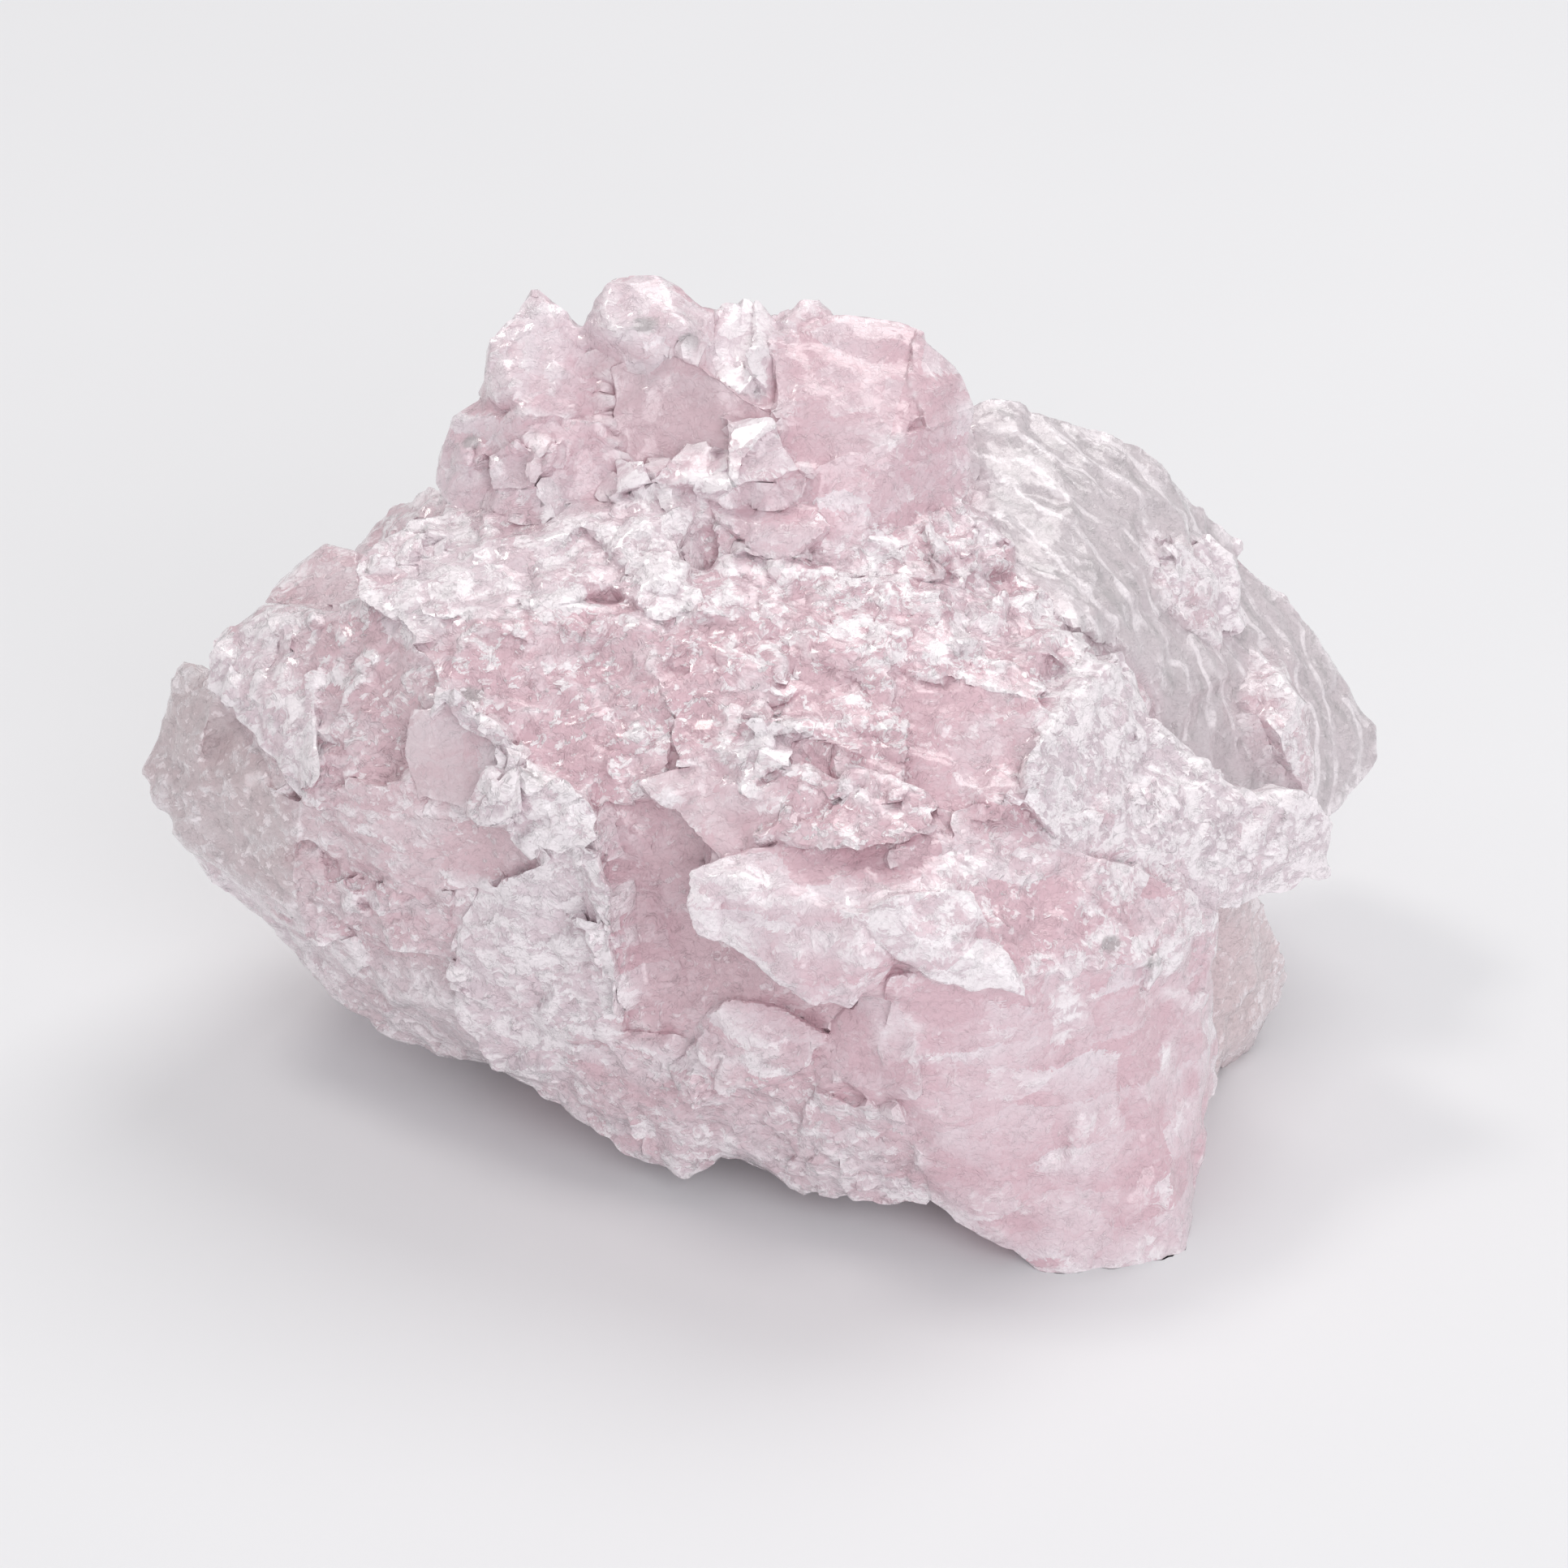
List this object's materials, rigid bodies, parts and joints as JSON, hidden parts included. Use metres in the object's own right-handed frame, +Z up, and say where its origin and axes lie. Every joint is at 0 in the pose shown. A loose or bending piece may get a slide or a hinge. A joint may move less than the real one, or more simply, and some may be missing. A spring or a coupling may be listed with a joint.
{
  "type": "rose quartz crystal",
  "caption": "Rough rose quartz hand piece: intergrown pink crystals with a raised crown, a frosted shelf and wing, a grey flank, and a flat base to rest on.",
  "frame": {"origin": "On the surface that the piece rests on, under the middle of its box.", "axes": "X along the piece's length, Y from its front to its back, Z up."},
  "size_m": [0.064, 0.0396, 0.0406],
  "materials": {
    "rose_quartz": "translucent pale pink quartz with broken glassy faces, white frosted edges and small bright facets"
  },
  "bodies": {
    "root": {"rose_quartz_crystal": "rose_quartz"}
  },
  "joints": []
}
